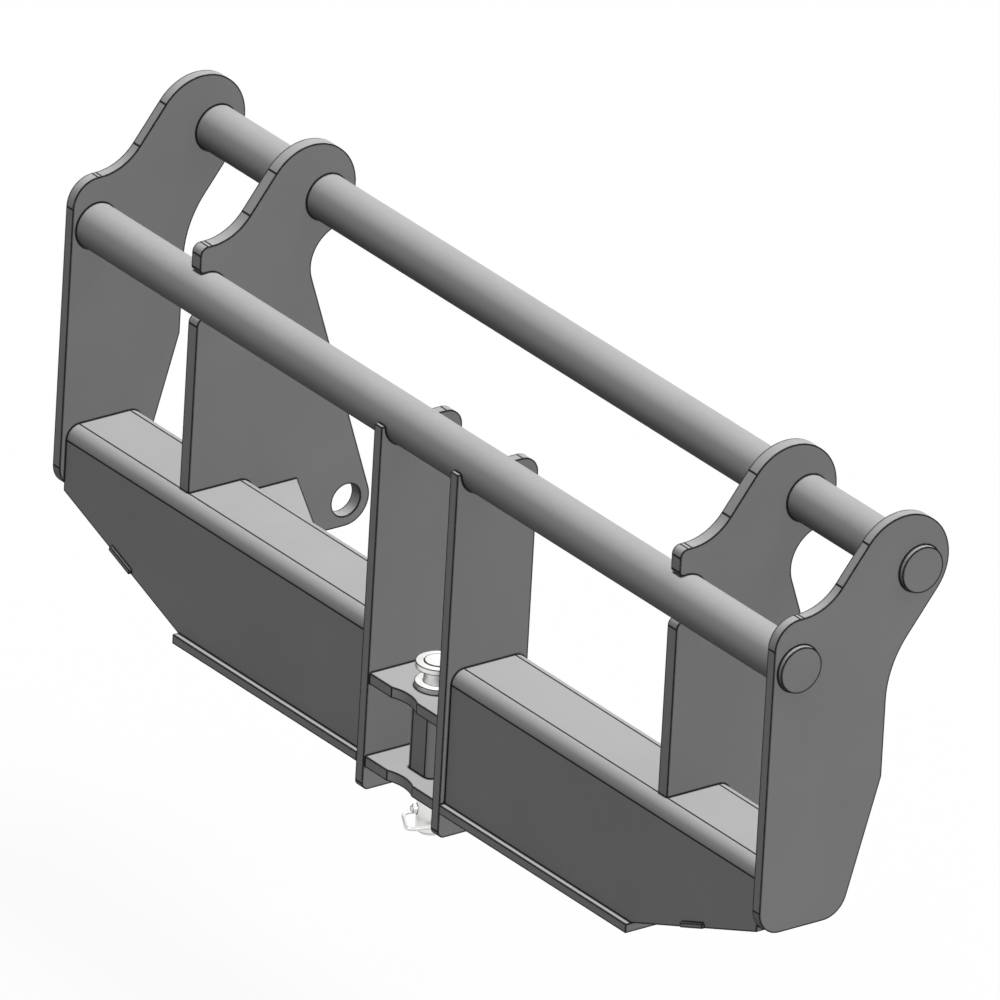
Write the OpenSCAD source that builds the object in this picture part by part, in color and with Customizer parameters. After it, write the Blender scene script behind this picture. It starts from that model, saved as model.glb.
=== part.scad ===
// Loader adapter frame: two round bars in upright plates over a tapered box beam,
// with a drop pin between two shelves in the middle.
// X runs across the frame, +Y points to the rear and +Z up.
// The origin is the middle of the upper bar, which the loader carries.

/* [Main sizes] */
// Width over the outer faces of the side plates
frame_w = 1212; // [1000:1:1400]
// Diameter of both round bars
bar_d = 50; // [40:1:56]
// How far each bar stands out past the side plates
bar_overhang = 6; // [2:1:15]
// Distance of the lower bar in front of the upper bar
bar_step_y = 146; // [140:1:156]
// Distance of the lower bar below the upper bar
bar_step_z = 76; // [72:1:84]
// Radial gap between a bar and the plates it is welded into
bar_gap = 0.1; // [0.05:0.05:0.3]

/* [Side plates] */
// Thickness of the side plates
side_t = 12; // [8:1:16]
// Front edge of the plates ahead of the lower bar axis
front_y = 30; // [28:1:36]
// Height of the side plates below the lower bar axis
side_drop = 292; // [270:1:320]
// Rear edge of the side plates behind the lower bar axis
side_rear_y = 113.5; // [104:0.5:124]
// Height of the heel corner below the lower bar axis
side_heel_z = 147; // [120:1:170]
// Depth of the foot of the side plates, before its corner is rounded
side_foot_y = 102; // [90:1:120]
// Radius of the rear corner at the foot
foot_rear_r = 29; // [20:1:45]
// Radius of the front corner at the foot
foot_front_r = 26; // [15:1:35]
// Radius of the hollow behind the arm
side_hollow_r = 108; // [90:1:120]

/* [Arms of the plates] */
// Slope of the arm that carries the upper bar, in degrees
arm_angle = 52.4; // [49:0.1:54]
// Radius of the round end of the arm
lobe_r = 56.2; // [52:0.1:60]
// Centre of the round end in front of the upper bar
lobe_ahead = 20; // [16:0.5:22]
// Centre of the round end above the upper bar
lobe_rise = 6.7; // [4:0.1:9]
// Height of the shoulder above the lower bar axis
shoulder_z = 54; // [50:1:58]
// Radius of the shoulder
shoulder_r = 30; // [24:1:30]
// Radius of the hollow between shoulder and arm
arm_hollow_r = 58; // [45:1:59]

/* [Ear plates] */
// Thickness of the ear plates
ear_t = 15; // [10:1:20]
// Distance between the middles of the two ear plates
ear_pitch = 820; // [700:1:900]
// Front edge of the ears ahead of the lower bar axis
ear_front_y = 9.5; // [8:0.5:14]
// Radius of the corners at the mouth of the ear
ear_mouth_r = 9; // [5:1:9]
// Diameter of the locking hole
lock_d = 36; // [28:1:38]
// Locking hole behind the lower bar axis
lock_y = 192; // [183:1:203]
// Locking hole below the lower bar axis
lock_z = 275.5; // [265:0.5:285]
// Radius of the round end about the locking hole
lock_r = 29; // [26:0.5:32]
// Lean of the rear edge of the ears from upright, in degrees
ear_lean = 18.8; // [17:0.1:21]
// Radius of the hollow behind the ear
ear_hollow_r = 40; // [36:0.5:46]
// How far that hollow bites into the round end of the arm
ear_bite = 3; // [0:0.5:5]

/* [Centre plates] */
// Thickness of the centre plates
centre_t = 12; // [8:1:16]
// Clear width between the centre plates
centre_gap = 118; // [104:1:130]
// Height of the top of the centre plates below the lower bar axis
centre_top = 0.5; // [0:0.5:8]
// Depth of the centre plates behind the lower bar axis
centre_rear_y = 71.5; // [71:0.5:84]
// Height of the foot of the centre plates below the lower bar axis
centre_drop = 406.5; // [392:0.5:425]
// Radius of the top rear corner of the centre plates
centre_top_r = 20; // [10:1:28]
// Radius of the lower corners of the centre plates
centre_foot_r = 8; // [4:1:14]

/* [Beam] */
// Top of the beam below the lower bar axis
beam_top = 220.5; // [205:0.5:235]
// Height of the beam over its bottom plate
beam_h = 147.5; // [130:0.5:160]
// Depth of the beam from front to rear
beam_depth = 94; // [84:1:95]
// Front of the beam behind the front edge of the plates
beam_inset = 6.5; // [4:0.5:10]
// Wall of the bent beam plate
beam_t = 8; // [5:1:10]
// Outer radius of the bends
bend_r = 15; // [12:1:20]
// Length of the tapered outer end
taper_l = 205; // [150:1:240]
// Thickness of the bottom plate
bottom_t = 10; // [8:1:14]
// Thickness of the sloping end plate
closer_t = 5; // [3:1:6]
// Width of the tabs that locate the end plate
closer_tab_w = 38; // [20:1:60]
// How far the tabs stand out of the beam
closer_tab_out = 3; // [1:0.5:5]
// Gap round the tabs in their notches
tab_gap = 0.2; // [0.1:0.1:0.5]
// Thickness of the gussets
gusset_t = 10; // [6:1:12]
// Length of the gusset along the ear
gusset_y = 58; // [40:1:60]
// Length of the gusset along the beam
gusset_x = 115; // [80:1:150]

/* [Shelves and guide tube] */
// Thickness of the two shelves
shelf_t = 12; // [8:1:14]
// Height of the upper shelf over the lower one, face to face
shelf_rise = 93; // [80:1:100]
// Front edge of the shelves behind the front edge of the plates
shelf_inset = 2; // [0:1:5]
// Width of the shallow hollow in the front edge
shelf_scoop_w = 43; // [30:1:60]
// Depth of that hollow
shelf_scoop_d = 5; // [3:0.5:8]
// Outer width of the square guide tube
tube_w = 40; // [38:1:50]
// Wall of the guide tube
tube_t = 4; // [2.5:0.5:4]
// Outer corner radius of the guide tube
tube_r = 8; // [5:1:9]

/* [Drop pin] */
// Diameter of the drop pin
pin_d = 30; // [24:1:30]
// Radial clearance of the drop pin in the shelves
pin_gap = 0.5; // [0.3:0.1:0.8]
// Drop pin axis behind the lower bar axis
pin_y = 14; // [10:1:20]
// Diameter of the disc and the collar
pin_disc_d = 48; // [44:1:54]
// Thickness of the disc and the collar
pin_disc_t = 6; // [4:1:8]
// Clear grip between the collar and the disc
pin_grip = 16; // [12:1:30]
// How far the end of the pin stands above the disc
pin_crown = 1; // [0.5:0.5:2]
// Length of the drop pin below the lower shelf
pin_tail = 57; // [54:1:70]
// Chamfer on the end of the drop pin
pin_chamfer = 3; // [1:0.5:4]
// Gap under the collar
seat_gap = 0.3; // [0.2:0.1:0.6]

/* [Linchpin] */
// Diameter of the linchpin
linch_d = 10; // [8:1:11]
// Radial clearance of the linchpin in the drop pin
linch_gap = 0.4; // [0.3:0.1:0.6]
// Height of the linchpin above the end of the drop pin
linch_up = 24.5; // [23:0.5:27]
// Turn of the linchpin from straight fore and aft, in degrees
linch_turn = 30; // [0:1:45]
// How far the tip of the linchpin stands out of the drop pin
linch_tip_out = 6; // [4:1:8]
// Diameter of the shoulder of the linchpin
linch_head_d = 16; // [14:1:18]
// Thickness of that shoulder
linch_head_t = 5; // [4:1:6]
// Gap between the shoulder and the drop pin
linch_seat = 0.8; // [0.4:0.1:1.5]
// Outer radius of the eye that holds the wire loop
eye_r = 6; // [5:0.5:7]
// Thickness of the eye
eye_t = 10; // [8:1:12]
// How far the eye lies below the linchpin
eye_drop = 8; // [7:1:10]
// Diameter of the wire of the loop
wire_d = 4; // [3:0.5:4.5]
// Radial clearance of the wire in its eye
wire_gap = 0.3; // [0.2:0.1:0.5]
// Width of the wire loop, from wire middle to wire middle
loop_w = 40; // [38:1:46]
// Radius of the corners of the wire loop
loop_r = 9; // [6:1:10]
// Gap between the drop pin and the far end of the loop
loop_clear = 9; // [7:1:12]
// Slope of the closed loop down towards the linchpin's tip, in degrees
loop_slope = 7; // [4:1:12]

/* [Hidden] */
$fn = 96;

// Cuts run this far past the faces they leave through
over = 5;
// Gap that is left between parts laid in a corner or a bend
lay = 0.2;
// A straight edge runs this far into the round it touches, so that the two join cleanly
nip = 0.005;

side_in = frame_w / 2 - side_t;
ear_in = (ear_pitch - ear_t) / 2;
ear_out = (ear_pitch + ear_t) / 2;
centre_in = centre_gap / 2;
centre_out = centre_in + centre_t;
saddle_r = bar_d / 2 + bar_gap;

beam_front = beam_inset - front_y;
beam_rear = beam_front + beam_depth;
beam_foot = -beam_top - beam_h;
taper_start = side_in - taper_l;
taper_top = -side_drop;
taper_drop = taper_top - beam_foot;
taper_angle = atan2(taper_drop, taper_l);
taper_mid = taper_start + taper_l / 2;

lower_shelf_top = beam_foot;
upper_shelf_top = lower_shelf_top + shelf_rise;
shelf_front = shelf_inset - front_y;
shelf_rear = centre_rear_y - shelf_inset;
pin_foot = lower_shelf_top - shelf_t - pin_tail;
collar_z = upper_shelf_top + seat_gap;
disc_z = collar_z + pin_disc_t + pin_grip;
linch_z = pin_foot + linch_up;
linch_stop = pin_d / 2 + linch_seat;
eye_y = linch_stop + linch_head_t + eye_r - seat_gap;
loop_l = (eye_y + pin_d / 2 + loop_clear + wire_d / 2) / cos(loop_slope);

// The arm: its round end, and the unit vectors along and across it
lobe = [bar_step_y - lobe_ahead, bar_step_z + lobe_rise];
along = [cos(arm_angle), sin(arm_angle)];
across = [-sin(arm_angle), cos(arm_angle)];
arm_front = lobe + (lobe_r - nip) * across;
arm_rear = lobe - (lobe_r - nip) * across;

// A point on the front or rear edge of the arm at a given height or depth
function arm_at_z(p, z) = p + along * (z - p[1]) / along[1];
function arm_at_y(p, y) = p + along * (y - p[0]) / along[0];

// The ear's rear edge is a line that touches the round end at the locking hole
lock = [lock_y, -lock_z];
lean_out = [cos(ear_lean), sin(ear_lean)];
lean_up = [-sin(ear_lean), cos(ear_lean)];
lock_touch = lock + (lock_r - nip) * lean_out;

// Centre of the hollow, which touches that line and bites into the end of the arm
hollow_side = lock + (lock_r + ear_hollow_r) * lean_out - lobe;
hollow_along = hollow_side * lean_up;
hollow_reach = lobe_r + ear_hollow_r - ear_bite;
hollow_run = -hollow_along
    - sqrt(hollow_along * hollow_along - hollow_side * hollow_side + hollow_reach * hollow_reach);
ear_hollow = lobe + hollow_side + hollow_run * lean_up;
hollow_on_lobe = lobe + (ear_hollow - lobe) * (lobe_r - ear_bite) / hollow_reach;
hollow_on_line = ear_hollow - (ear_hollow_r - nip) * lean_out;

// Corner helpers for outlines given as [y, z, radius]
function flat2(c) = [c[0], c[1]];
function unit(v) = v / norm(v);
function cross2(a, b) = a[0] * b[1] - a[1] * b[0];
function before(c, i) = unit(flat2(c[(i + len(c) - 1) % len(c)]) - flat2(c[i]));
function after(c, i) = unit(flat2(c[(i + 1) % len(c)]) - flat2(c[i]));
function half_turn(c, i) = acos(before(c, i) * after(c, i)) / 2;
function reach(c, i) = c[i][2] / tan(half_turn(c, i));
function is_hollow(c, i) = cross2(before(c, i), after(c, i)) > 0;
function touch_points(c) = [for (i = [0 : len(c) - 1])
    each c[i][2] == 0 ? [flat2(c[i])]
        : [flat2(c[i]) + before(c, i) * reach(c, i), flat2(c[i]) + after(c, i) * reach(c, i)]];

// The round that fills or cuts corner i
module corner_round(c, i) {
    middle = unit(before(c, i) + after(c, i));
    translate(flat2(c[i]) + middle * c[i][2] / sin(half_turn(c, i)))
        circle(c[i][2]);
}

// An outline whose corners have true round arcs, anticlockwise
module rounded(c) {
    difference() {
        union() {
            polygon(touch_points(c));
            for (i = [0 : len(c) - 1])
                if (c[i][2] > 0 && !is_hollow(c, i))
                    corner_round(c, i);
        }
        for (i = [0 : len(c) - 1])
            if (c[i][2] > 0 && is_hollow(c, i))
                corner_round(c, i);
    }
}

// Stands a [y, z] outline up as a plate from x to x + t
module plate(x, t) {
    translate([x, 0, 0])
        rotate([90, 0, 90])
            linear_extrude(t)
                children();
}

// Moves parts drawn about the lower bar axis into the frame's own place
module placed() {
    translate([0, -bar_step_y, -bar_step_z])
        children();
}

// Shows a part that is drawn on the right at its own side
module on_side(side) {
    if (side < 0)
        mirror([1, 0, 0])
            children();
    else
        children();
}

module bar(y, z) {
    length = frame_w + 2 * bar_overhang;
    translate([-length / 2, y, z])
        rotate([0, 90, 0])
            cylinder(d = bar_d, h = length);
}

module upper_bar() {
    color("dimgray")
        placed()
            bar(bar_step_y, bar_step_z);
}

module lower_bar() {
    color("dimgray")
        placed()
            bar(0, 0);
}

module side_outline() {
    foot_rear = [side_foot_y - front_y, -side_drop];
    difference() {
        union() {
            rounded([
                [-front_y, -side_drop, foot_front_r],
                [foot_rear[0], foot_rear[1], foot_rear_r],
                [side_rear_y, -side_heel_z, 0],
                [side_rear_y, arm_at_y(arm_rear, side_rear_y)[1], side_hollow_r],
                [arm_rear[0], arm_rear[1], 0],
                [arm_front[0], arm_front[1], 0],
                [arm_at_z(arm_front, shoulder_z)[0], shoulder_z, arm_hollow_r],
                [-front_y, shoulder_z, shoulder_r]]);
            translate(lobe)
                circle(lobe_r);
        }
        circle(saddle_r);
        translate([bar_step_y, bar_step_z])
            circle(saddle_r);
    }
}

module side_plate(side) {
    color("slategray")
        placed()
            on_side(side)
                plate(side_in, side_t)
                    side_outline();
}

module ear_outline() {
    difference() {
        union() {
            rounded([
                [beam_rear, -lock_z - lock_r, 0],
                [lock_y, -lock_z - lock_r, 0],
                [lock_touch[0], lock_touch[1], 0],
                [hollow_on_line[0], hollow_on_line[1], 0],
                [hollow_on_lobe[0], hollow_on_lobe[1], 0],
                [arm_front[0], arm_front[1], 0],
                [arm_at_z(arm_front, shoulder_z)[0], shoulder_z, arm_hollow_r],
                [-ear_front_y, shoulder_z, ear_mouth_r],
                [-ear_front_y, saddle_r, ear_mouth_r / 2],
                [0, saddle_r, 0],
                [0, -saddle_r, 0],
                [-ear_front_y, -saddle_r, ear_mouth_r],
                [-ear_front_y, -beam_top, 0],
                [beam_rear, -beam_top, bend_r - lay]]);
            translate(lobe)
                circle(lobe_r);
            translate(lock)
                circle(lock_r);
        }
        circle(saddle_r);
        translate([bar_step_y, bar_step_z])
            circle(saddle_r);
        translate(ear_hollow)
            circle(ear_hollow_r);
        translate(lock)
            circle(d = lock_d);
    }
}

module ear_plate(side) {
    color("slategray")
        placed()
            on_side(side)
                plate(ear_in, ear_t)
                    ear_outline();
}

module centre_outline() {
    difference() {
        rounded([
            [-front_y, -centre_drop, centre_foot_r],
            [centre_rear_y, -centre_drop, centre_foot_r],
            [centre_rear_y, -centre_top, centre_top_r],
            [-front_y, -centre_top, 0]]);
        circle(saddle_r);
    }
}

module centre_plate(side) {
    color("slategray")
        placed()
            on_side(side)
                plate(centre_in, centre_t)
                    centre_outline();
}

// Outline of the bent beam plate: a channel open at its foot
module beam_outline() {
    inner_r = max(bend_r - beam_t, 1);
    difference() {
        rounded([
            [beam_front, beam_foot, 0],
            [beam_rear, beam_foot, 0],
            [beam_rear, -beam_top, bend_r],
            [beam_front, -beam_top, bend_r]]);
        rounded([
            [beam_front + beam_t, beam_foot - over, 0],
            [beam_rear - beam_t, beam_foot - over, 0],
            [beam_rear - beam_t, -beam_top - beam_t, inner_r],
            [beam_front + beam_t, -beam_top - beam_t, inner_r]]);
    }
}

// Everything below a line that lies up or down from the sloping foot of the beam
module below_taper(shift) {
    far = 2 * taper_l;
    translate([taper_start, 0, beam_foot])
        rotate([0, -taper_angle, 0])
            translate([-far / 2, beam_front - over, shift - far])
                cube([2 * far, beam_depth + 2 * over, far]);
}

// A block lying on the slope, centred on its length
module on_taper(length, low, y0, y1, high) {
    rise = taper_drop / 2;
    translate([taper_mid, 0, beam_foot + rise])
        rotate([0, -taper_angle, 0])
            translate([-length / 2, y0, low])
                cube([length, y1 - y0, high - low]);
}

module beam(side) {
    color("gray")
        placed()
            on_side(side)
                difference() {
                    plate(centre_out, side_in - centre_out)
                        beam_outline();
                    below_taper(0);
                    on_taper(closer_tab_w + 2 * tab_gap, -over,
                        beam_front - over, beam_rear + over, closer_t + tab_gap);
                }
}

module bottom_plate(side) {
    color("gray")
        placed()
            on_side(side)
                translate([centre_out, -front_y, beam_foot - bottom_t])
                    cube([taper_start - centre_out, front_y + centre_rear_y, bottom_t]);
}

// Sloping plate between the beam walls, with a tab through each wall
module end_plate(side) {
    inner_front = beam_front + beam_t + lay;
    inner_rear = beam_rear - beam_t - lay;
    color("gray")
        placed()
            on_side(side)
                intersection() {
                    union() {
                        on_taper(2 * taper_l, 0, inner_front, inner_rear, closer_t);
                        on_taper(closer_tab_w, 0, beam_front - closer_tab_out,
                            beam_rear + closer_tab_out, closer_t);
                    }
                    translate([taper_start, beam_front - over, beam_foot])
                        cube([taper_l, beam_depth + 2 * over, beam_h]);
                }
}

// Three-cornered gusset behind the beam, against the inner face of the ear
module gusset(side) {
    top = -beam_top - bend_r;
    color("gray")
        placed()
            on_side(side)
                translate([0, 0, top - gusset_t])
                    linear_extrude(gusset_t)
                        polygon([
                            [ear_in, beam_rear],
                            [ear_in, beam_rear + gusset_y],
                            [ear_in - gusset_x, beam_rear]]);
}

module shelf_outline() {
    scoop_r = (pow(shelf_scoop_w / 2, 2) + pow(shelf_scoop_d, 2)) / (2 * shelf_scoop_d);
    difference() {
        translate([-centre_in, shelf_front])
            square([centre_gap, shelf_rear - shelf_front]);
        translate([0, shelf_front + shelf_scoop_d - scoop_r])
            circle(scoop_r);
        translate([0, pin_y])
            circle(d = pin_d + 2 * pin_gap);
    }
}

module shelf(top) {
    color("lightslategray")
        placed()
            translate([0, 0, top - shelf_t])
                linear_extrude(shelf_t)
                    shelf_outline();
}

module square_round(width, radius) {
    half = width / 2;
    rounded([[-half, -half, radius], [half, -half, radius],
        [half, half, radius], [-half, half, radius]]);
}

module guide_tube() {
    color("lightslategray")
        placed()
            translate([0, pin_y, lower_shelf_top])
                linear_extrude(shelf_rise - shelf_t)
                    difference() {
                        square_round(tube_w, tube_r);
                        square_round(tube_w - 2 * tube_t, tube_r - tube_t);
                    }
}

module at_pin(z) {
    placed()
        translate([0, pin_y, z])
            children();
}

// Places what is drawn with the linchpin along +Y about its own axis
module at_linchpin() {
    at_pin(linch_z)
        rotate([0, 0, -linch_turn])
            children();
}

module pin_shank() {
    top = disc_z + pin_disc_t + pin_crown;
    color("whitesmoke")
        difference() {
            at_pin(pin_foot)
                rotate_extrude()
                    polygon([
                        [0, 0],
                        [pin_d / 2 - pin_chamfer, 0],
                        [pin_d / 2, pin_chamfer],
                        [pin_d / 2, top - pin_foot],
                        [0, top - pin_foot]]);
            at_linchpin()
                rotate([90, 0, 0])
                    cylinder(d = linch_d + 2 * linch_gap, h = pin_d + 2 * over, center = true);
        }
}

// A flat ring pressed on the drop pin
module pin_ring(z) {
    color("whitesmoke")
        at_pin(z)
            difference() {
                cylinder(d = pin_disc_d, h = pin_disc_t);
                translate([0, 0, -over])
                    cylinder(d = pin_d + 2 * bar_gap, h = pin_disc_t + 2 * over);
            }
}

// The lug behind the shoulder, drawn as [y, z], with the hole for the wire
module eye_outline() {
    difference() {
        union() {
            translate([eye_y, 0])
                circle(eye_r);
            translate([eye_y, -eye_drop])
                circle(eye_r);
            translate([eye_y - eye_r, -eye_drop])
                square([2 * eye_r, eye_drop]);
            translate([linch_stop, -eye_r])
                square([eye_y - linch_stop, 2 * eye_r]);
        }
        translate([eye_y, -eye_drop])
            circle(wire_d / 2 + wire_gap);
    }
}

// Linchpin through the drop pin, with its shoulder and eye at the rear
module linchpin() {
    tip = -pin_d / 2 - linch_tip_out;
    nose = linch_d / 4;
    color("gainsboro")
        at_linchpin() {
            rotate([-90, 0, 0])
                rotate_extrude()
                    polygon([
                        [0, tip],
                        [linch_d / 2 - nose, tip],
                        [linch_d / 2, tip + nose],
                        [linch_d / 2, linch_stop],
                        [linch_head_d / 2, linch_stop],
                        [linch_head_d / 2, linch_stop + linch_head_t],
                        [0, linch_stop + linch_head_t]]);
            plate(-eye_t / 2, eye_t)
                eye_outline();
        }
}

module wire(length) {
    cylinder(d = wire_d, h = length, center = true);
}

// One quarter turn of the wire about a corner of the loop
module wire_bend() {
    rotate_extrude(angle = 90)
        translate([loop_r, 0])
            circle(d = wire_d);
}

// A closed loop of wire with rounded corners, in its own X and Y
module wire_loop() {
    half_w = loop_w / 2 - loop_r;
    half_l = loop_l / 2 - loop_r;
    color("gainsboro")
        at_linchpin()
            translate([0, eye_y, -eye_drop])
                rotate([loop_slope, 0, 0])
                    translate([0, -loop_l / 2, 0])
                        for (half = [0, 180])
                            rotate([0, 0, half]) {
                                translate([half_w, half_l, 0])
                                    wire_bend();
                                translate([-half_w, half_l, 0])
                                    rotate([0, 0, 90])
                                        wire_bend();
                                translate([0, loop_l / 2, 0])
                                    rotate([0, 90, 0])
                                        wire(2 * half_w);
                                translate([loop_w / 2, 0, 0])
                                    rotate([90, 0, 0])
                                        wire(2 * half_l);
                            }
}

upper_bar();
lower_bar();
side_plate(-1);  // left_side_plate
side_plate(1);  // right_side_plate
ear_plate(-1);  // left_ear_plate
ear_plate(1);  // right_ear_plate
centre_plate(-1);  // left_centre_plate
centre_plate(1);  // right_centre_plate
beam(-1);  // left_beam
beam(1);  // right_beam
bottom_plate(-1);  // left_bottom_plate
bottom_plate(1);  // right_bottom_plate
end_plate(-1);  // left_end_plate
end_plate(1);  // right_end_plate
gusset(-1);  // left_gusset
gusset(1);  // right_gusset
shelf(upper_shelf_top);  // upper_shelf
shelf(lower_shelf_top);  // lower_shelf
guide_tube();
pin_shank();
pin_ring(disc_z);  // pin_disc
pin_ring(collar_z);  // pin_collar
linchpin();
wire_loop();
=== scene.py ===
import math
import bpy
from mathutils import Matrix, Vector


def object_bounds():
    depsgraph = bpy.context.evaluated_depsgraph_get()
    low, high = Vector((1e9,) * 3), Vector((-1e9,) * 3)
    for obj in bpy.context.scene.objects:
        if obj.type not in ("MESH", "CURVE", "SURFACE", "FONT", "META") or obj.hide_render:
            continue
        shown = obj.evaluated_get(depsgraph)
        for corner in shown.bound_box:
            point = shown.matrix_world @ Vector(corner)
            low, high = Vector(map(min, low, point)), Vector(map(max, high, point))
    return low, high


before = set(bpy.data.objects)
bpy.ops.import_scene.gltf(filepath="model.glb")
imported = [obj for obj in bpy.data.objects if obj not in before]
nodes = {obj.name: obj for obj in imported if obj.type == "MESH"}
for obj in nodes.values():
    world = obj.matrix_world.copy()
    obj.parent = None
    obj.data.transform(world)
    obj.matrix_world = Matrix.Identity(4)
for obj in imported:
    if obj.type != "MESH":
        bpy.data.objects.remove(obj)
cadLow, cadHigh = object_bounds()
print("frame loaded,", len(nodes), "nodes")

# the drawing is a parallel view, so the lens is very long and stands far off
cameraSettings = {
    "azimuth": 52.438,          # degrees, round from the front
    "elevation": 25.248,
    "roll": 3.248,
    "target": (0.05917, -0.11176, -0.12364),
    "distance": 47.525,
    "lens": 1700.0,
    "clip": (1.0, 200.0),
}


def directionFrom(azimuth, height):
    # towards a place seen so many degrees round from the front and above the floor
    azimuth, height = math.radians(azimuth), math.radians(height)
    level = math.cos(height)
    return Vector((math.sin(azimuth) * level, -math.cos(azimuth) * level, math.sin(height)))


def makeCamera(settings):
    back = directionFrom(settings["azimuth"], settings["elevation"])
    level = (-back).to_track_quat("-Z", "Y").to_matrix()
    turn = Matrix.Rotation(math.radians(settings["roll"]), 3, "Z")
    cameraData = bpy.data.cameras.new("camera")
    cameraData.lens = settings["lens"]
    cameraData.clip_start, cameraData.clip_end = settings["clip"]
    camera = bpy.data.objects.new("camera", cameraData)
    bpy.context.scene.collection.objects.link(camera)
    camera.matrix_world = (level @ turn).to_4x4()
    camera.location = Vector(settings["target"]) + back * settings["distance"]
    bpy.context.scene.camera = camera


makeCamera(cameraSettings)
print("camera placed")


# node helpers for the materials: a value is a number, a colour or another node's output
def feed(tree, socket, value):
    if isinstance(value, bpy.types.NodeSocket):
        tree.links.new(value, socket)
    else:
        socket.default_value = value


def addNode(tree, kind, inputs=None, **options):
    node = tree.nodes.new("ShaderNode" + kind)
    for key, value in options.items():
        setattr(node, key, value)
    for key, value in (inputs or {}).items():
        feed(tree, node.inputs[key], value)
    return node


def maths(tree, operation, first, second=0.0):
    return addNode(tree, "Math", {0: first, 1: second}, operation=operation).outputs[0]


def vectorMaths(tree, operation, first, second, output="Vector"):
    return addNode(tree, "VectorMath", {0: first, 1: second}, operation=operation).outputs[output]


def rampBetween(tree, value, low, high, start=0.0, end=1.0):
    limits = {"Value": value, "From Min": low, "From Max": high, "To Min": start, "To Max": end}
    return addNode(tree, "MapRange", limits).outputs["Result"]


def spreadAround(tree, value, middle, spread):
    # noise keeps near 0.5, so its middle part is stretched over the whole spread
    return rampBetween(tree, value, 0.2, 0.8, middle - spread, middle + spread)


def noise(tree, place, grain, stretch=None):
    if stretch:
        place = addNode(tree, "Mapping", {"Vector": place, "Scale": stretch}).outputs["Vector"]
    scale, detail, roughness = grain
    inputs = {"Vector": place, "Scale": scale, "Detail": detail, "Roughness": roughness}
    return addNode(tree, "TexNoise", inputs).outputs["Fac"]


def grey(level):
    return (level, level, level, 1.0)


def mixColour(tree, share, first, second):
    node = addNode(tree, "Mix", data_type="RGBA", blend_type="MIX")
    feed(tree, node.inputs["Factor"], share)
    feed(tree, node.inputs["A"], first)
    feed(tree, node.inputs["B"], second)
    return node.outputs["Result"]


def anyOf(tree, values):
    highest = values[0]
    for value in values[1:]:
        highest = maths(tree, "MAXIMUM", highest, value)
    return highest


maskSamples = 12


def edgeMask(tree, settings):
    # the rounded normal leaves the flat one along every sharp edge
    radius = {"Radius": settings["edgeWidth"]}
    rounded = addNode(tree, "Bevel", radius, samples=maskSamples).outputs["Normal"]
    flat = addNode(tree, "NewGeometry").outputs["Normal"]
    likeness = vectorMaths(tree, "DOT_PRODUCT", rounded, flat, "Value")
    return rampBetween(tree, likeness, settings["edgeDark"], settings["edgeClear"], 1.0, 0.0)


def cornerShadeMask(tree, settings):
    # painted shade: the colour darkens in a fine line where little of the sky is seen, in the corner where
    # another plate stands on this one
    reach = {"Distance": settings["cornerShadeReach"]}
    openness = addNode(tree, "AmbientOcclusion", reach, samples=maskSamples).outputs["AO"]
    return rampBetween(tree, openness, settings["cornerShadeDark"], settings["cornerShadeClear"], 1.0, 0.0)


def tangentMask(tree, place, settings, points, along):
    # fine lines along the named axis, through points of the outline
    across = {"X": (0.0, 1.0, 1.0), "Z": (1.0, 1.0, 0.0)}[along]
    flatPlace = vectorMaths(tree, "MULTIPLY", place, across)
    spots = [(0.0, *point) if along == "X" else (*point, 0.0) for point in points]
    nearest = None
    for spot in spots:
        distance = vectorMaths(tree, "DISTANCE", flatPlace, spot, "Value")
        nearest = distance if nearest is None else maths(tree, "MINIMUM", nearest, distance)
    line = rampBetween(tree, nearest, settings["lineDark"], settings["lineClear"], 1.0, 0.0)
    normal = addNode(tree, "NewGeometry").outputs["Normal"]
    lean = maths(tree, "ABSOLUTE", addNode(tree, "SeparateXYZ", {0: normal}).outputs[along])
    return maths(tree, "MULTIPLY", line, maths(tree, "LESS_THAN", lean, 0.5))   # not on the end faces


paint = {
    "base": 0.300,              # mid grey
    "edge": 0.015,              # the dark of the edge lines and of the painted shade in the corners
    "edgeWidth": 0.0037,
    "edgeDark": 0.965,          # likeness of the two normals on the line and beside it
    "edgeClear": 0.993,
    # painted shade in the corners between plates: how far it looks for neighbours, and where it starts and
    # ends
    "cornerShadeReach": 0.0030,
    "cornerShadeDark": 0.72,          # openness in the corner and beside it, for the painted corner shade
    "cornerShadeClear": 0.88,
    "lineDark": 0.00077,        # metres from the middle of a fine line
    "lineClear": 0.00143,
    "cloud": (9.0, 4.0, 0.55),  # noise scale, detail and roughness
    "cloudiness": 0.030,        # slow change of tone across a plate
    "speck": (900.0, 2.0, 0.6),
    "speckle": 0.035,
    "roughness": 0.62,
    "roughnessSpread": 0.06,
    "gloss": 0.06,
    "peel": 0.06,               # strength of the orange peel
    "peelDepth": 0.0002,
    "drawn": (0.15, 1.0, 1.0),  # specks on the bars run along them
}


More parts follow.
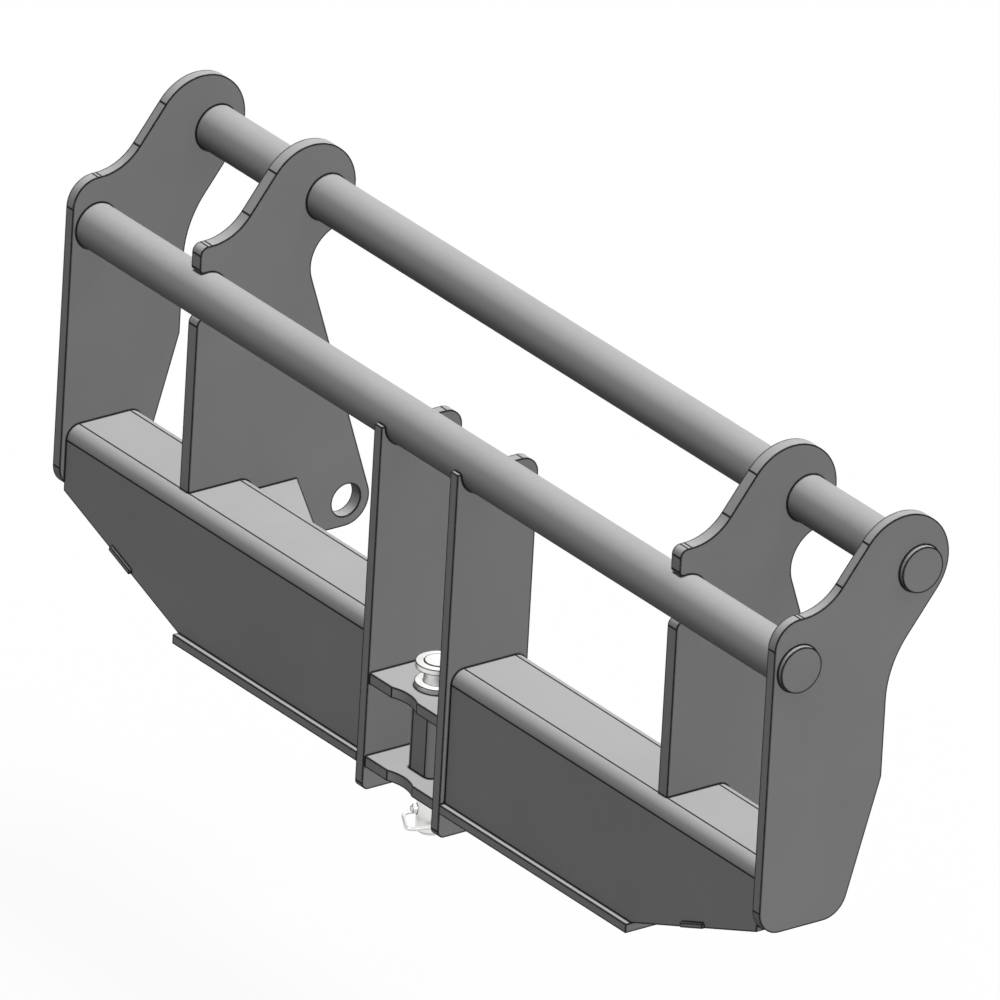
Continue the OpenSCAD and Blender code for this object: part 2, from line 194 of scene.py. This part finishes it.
def makePaint(name, settings, points=(), along="X", stretch=None):
    material = bpy.data.materials.new(name)
    material.use_nodes = True
    tree = material.node_tree
    shader = tree.nodes["Principled BSDF"]
    place = addNode(tree, "TexCoord").outputs["Object"]
    cloud = noise(tree, place, settings["cloud"])
    speck = noise(tree, place, settings["speck"], stretch)
    cloudTone = rampBetween(tree, cloud, 0.3, 0.7, -settings["cloudiness"], settings["cloudiness"])
    speckTone = rampBetween(tree, speck, 0.25, 0.75, -settings["speckle"], settings["speckle"])
    tone = maths(tree, "ADD", maths(tree, "ADD", cloudTone, speckTone), 1.0)
    body = maths(tree, "MULTIPLY", tone, settings["base"])
    colour = addNode(tree, "CombineColor", {0: body, 1: body, 2: body}).outputs["Color"]
    # dark lines along the sharp edges, and painted shade in the corners between plates
    masks = [edgeMask(tree, settings), cornerShadeMask(tree, settings)]
    if points:
        masks.append(tangentMask(tree, place, settings, points, along))
    colour = mixColour(tree, anyOf(tree, masks), colour, grey(settings["edge"]))
    peel = {"Strength": settings["peel"], "Distance": settings["peelDepth"], "Height": speck}
    roughness = spreadAround(tree, speck, settings["roughness"], settings["roughnessSpread"])
    feed(tree, shader.inputs["Base Color"], colour)
    feed(tree, shader.inputs["Roughness"], roughness)
    feed(tree, shader.inputs["Specular IOR Level"], settings["gloss"])
    feed(tree, shader.inputs["Normal"], addNode(tree, "Bump", peel).outputs["Normal"])
    return material


plating = {
    "pin": (0.940, 0.932, 0.915, 1.0),
    "wire": (0.800, 0.795, 0.785, 1.0),
    "edge": 0.03,
    "edgeWidth": 0.0022,
    "edgeDark": 0.965,
    "edgeClear": 0.993,
    "grain": (400.0, 3.0, 0.6),
    "tarnish": 0.12,            # most that the dull tone shows
    "tarnishTone": 0.70,
    "metal": 0.72,              # a dull zinc skin, between bright metal and white
    "roughness": 0.40,
    "roughnessSpread": 0.06,
    "turned": (0.1, 0.1, 1.0),  # marks of the lathe run round the pin
}


def makePlating(name, settings, base, stretch=None):
    material = bpy.data.materials.new(name)
    material.use_nodes = True
    tree = material.node_tree
    shader = tree.nodes["Principled BSDF"]
    place = addNode(tree, "TexCoord").outputs["Object"]
    grain = noise(tree, place, settings["grain"], stretch)
    tarnish = rampBetween(tree, grain, 0.3, 0.7, 0.0, settings["tarnish"])
    colour = mixColour(tree, tarnish, base, grey(settings["tarnishTone"]))
    colour = mixColour(tree, edgeMask(tree, settings), colour, grey(settings["edge"]))
    roughness = spreadAround(tree, grain, settings["roughness"], settings["roughnessSpread"])
    feed(tree, shader.inputs["Base Color"], colour)
    feed(tree, shader.inputs["Metallic"], settings["metal"])
    feed(tree, shader.inputs["Roughness"], roughness)
    return material


# an outline's gentle corners get a fine line, and the edge mask draws the sharp ones
corner = {
    "gentlest": 0.1,            # degrees
    "sharpest": 30.0,
    "sameChord": 1.03,          # two chords of one round have about the same length
    "sameTurn": 0.10,           # and about the same turn at their ends
    "digits": 6,                # points closer than a micrometre are one
    "onLevel": 1e-5,            # metres from the end face
    "upright": 0.01,            # most that a rim's normal leans along the axis
}


def flatten(place, axis, digits):
    return Vector([round(place[side], digits) for side in range(3) if side != axis]).freeze()


def readOutline(node, along, settings):
    # each point of the end face nearest the middle, with the points beside it
    axis = "XYZ".index(along)
    vertices = node.data.vertices
    level = min((vertex.co[axis] for vertex in vertices), key=abs)
    nextTo = {}
    for face in node.data.polygons:
        places = [vertices[index].co for index in face.vertices]
        places = [place for place in places if abs(place[axis] - level) < settings["onLevel"]]
        if abs(face.normal[axis]) > settings["upright"] or len(places) != 2:
            continue
        start, end = (flatten(place, axis, settings["digits"]) for place in places)
        if start != end:
            nextTo.setdefault(start, set()).add(end)
            nextTo.setdefault(end, set()).add(start)
    return nextTo


def findTangents(node, along, settings):
    # the corners between a straight of the outline and what follows it
    nextTo = readOutline(node, along, settings)

    def turnAt(point):
        before, after = nextTo[point]
        return (point - before).angle(after - point)

    def isInRound(point):
        turn = turnAt(point)
        chords = [(point - other).length for other in nextTo[point]]
        changes = [abs(turnAt(other) - turn) for other in nextTo[point]]
        sameTurn = min(changes) < turn * settings["sameTurn"]
        return sameTurn and max(chords) < min(chords) * settings["sameChord"]

    tangents = []
    for point, others in nextTo.items():
        isGentle = settings["gentlest"] < math.degrees(turnAt(point)) < settings["sharpest"]
        if isGentle and not isInRound(point) and not all(isInRound(other) for other in others):
            tangents.append(tuple(point))
    return sorted(tangents)


def paintNodes(material, names):
    for name in names:
        slots = nodes[name].material_slots
        if not slots:
            nodes[name].data.materials.append(material)
        for slot in slots:
            slot.material = material


# pieces of one outline, with the axis that it is drawn along
outlined = {
    "sidePaint": ("X", ("left_side_plate", "right_side_plate")),
    "earPaint": ("X", ("left_ear_plate", "right_ear_plate")),
    "centrePaint": ("X", ("left_centre_plate", "right_centre_plate")),
    "beamPaint": ("X", ("left_beam", "right_beam")),
    "tubePaint": ("Z", ("guide_tube",)),
    "shelfPaint": ("Z", ("upper_shelf", "lower_shelf")),
}
flatPlates = ("left_bottom_plate", "right_bottom_plate", "left_end_plate", "right_end_plate",
              "left_gusset", "right_gusset")

for name, (along, pieces) in outlined.items():
    points = findTangents(nodes[pieces[0]], along, corner)
    paintNodes(makePaint(name, paint, points, along), pieces)
    print(name, "with", len(points), "fine lines")
paintNodes(makePaint("platePaint", paint), flatPlates)
paintNodes(makePaint("barPaint", paint, stretch=paint["drawn"]), ("upper_bar", "lower_bar"))
pinPlating = makePlating("pinPlating", plating, plating["pin"], plating["turned"])
paintNodes(pinPlating, ("pin_shank", "pin_disc", "pin_collar"))
paintNodes(makePlating("wirePlating", plating, plating["wire"]), ("linchpin", "wire_loop"))
print("materials on")

studio = {
    "lamps": (                  # degrees round from the front, degrees above the floor, strength
        (201.7, 55.7, 3.50),
        (82.2, 40.3, 1.80),
        (332.3, 53.0, 0.81),
    ),
    "lampSize": 10.0,           # degrees across
    "shade": (140.0, 70.0, 0.35),   # the one lamp that throws a shadow
    "shadeSize": 35.0,          # wide, for a soft shadow
    "sky": 0.10,
    "floor": 0.575,             # its own tone, which the lamps bring up to white
    "floorGlow": 0.02,
    "floorDrop": 0.25,          # below the part
    "floorSize": 60.0,
}


def emit(tree, kind, strength):
    return addNode(tree, kind, {"Color": grey(1.0), "Strength": strength}).outputs[0]


def mixShader(tree, share, first, second):
    return addNode(tree, "MixShader", {0: share, 1: first, 2: second}).outputs[0]


def makeWorld(settings):
    world = bpy.data.worlds.new("studio")
    bpy.context.scene.world = world
    world.use_nodes = True
    tree = world.node_tree
    tree.nodes.clear()
    rays = addNode(tree, "LightPath").outputs
    seen = anyOf(tree, [rays["Is Camera Ray"], rays["Is Glossy Ray"], rays["Is Transmission Ray"]])
    light, white = emit(tree, "Background", settings["sky"]), emit(tree, "Background", 1.0)
    addNode(tree, "OutputWorld", {"Surface": mixShader(tree, seen, light, white)})


def makeLamp(name, place, size, shadow):
    azimuth, height, strength = place
    lampData = bpy.data.lights.new(name, "SUN")
    lampData.energy = strength
    lampData.angle = math.radians(size)
    lampData.use_shadow = shadow
    lampData.cycles.max_bounces = 0     # one plate throws no light on the next
    lamp = bpy.data.objects.new(name, lampData)
    bpy.context.scene.collection.objects.link(lamp)
    lamp.rotation_euler = directionFrom(azimuth, height).to_track_quat("Z", "Y").to_euler()


def makeFloor(settings, low):
    height = low.z - settings["floorDrop"]
    bpy.ops.mesh.primitive_plane_add(size=settings["floorSize"], location=(0, 0, height))
    floor = bpy.context.object
    floor.name = "floor"
    material = bpy.data.materials.new("floor")
    material.use_nodes = True
    tree = material.node_tree
    tree.nodes.clear()
    rays = addNode(tree, "LightPath").outputs
    matt = addNode(tree, "BsdfDiffuse", {"Color": grey(settings["floor"])}).outputs[0]
    pale = addNode(tree, "AddShader", {0: matt, 1: emit(tree, "Emission", settings["floorGlow"])}).outputs[0]
    mirrored = anyOf(tree, [rays["Is Glossy Ray"], rays["Is Transmission Ray"]])
    dim, white = emit(tree, "Emission", settings["sky"]), emit(tree, "Emission", 1.0)
    unseen = mixShader(tree, mirrored, dim, white)
    surface = mixShader(tree, rays["Is Camera Ray"], unseen, pale)
    addNode(tree, "OutputMaterial", {"Surface": surface})
    floor.data.materials.append(material)


makeWorld(studio)
for count, place in enumerate(studio["lamps"]):
    makeLamp("lamp%d" % (count + 1), place, studio["lampSize"], False)
makeLamp("shadeLamp", studio["shade"], studio["shadeSize"], True)
makeFloor(studio, cadLow)
bpy.context.scene.view_settings.view_transform = "Standard"
print("studio lit")
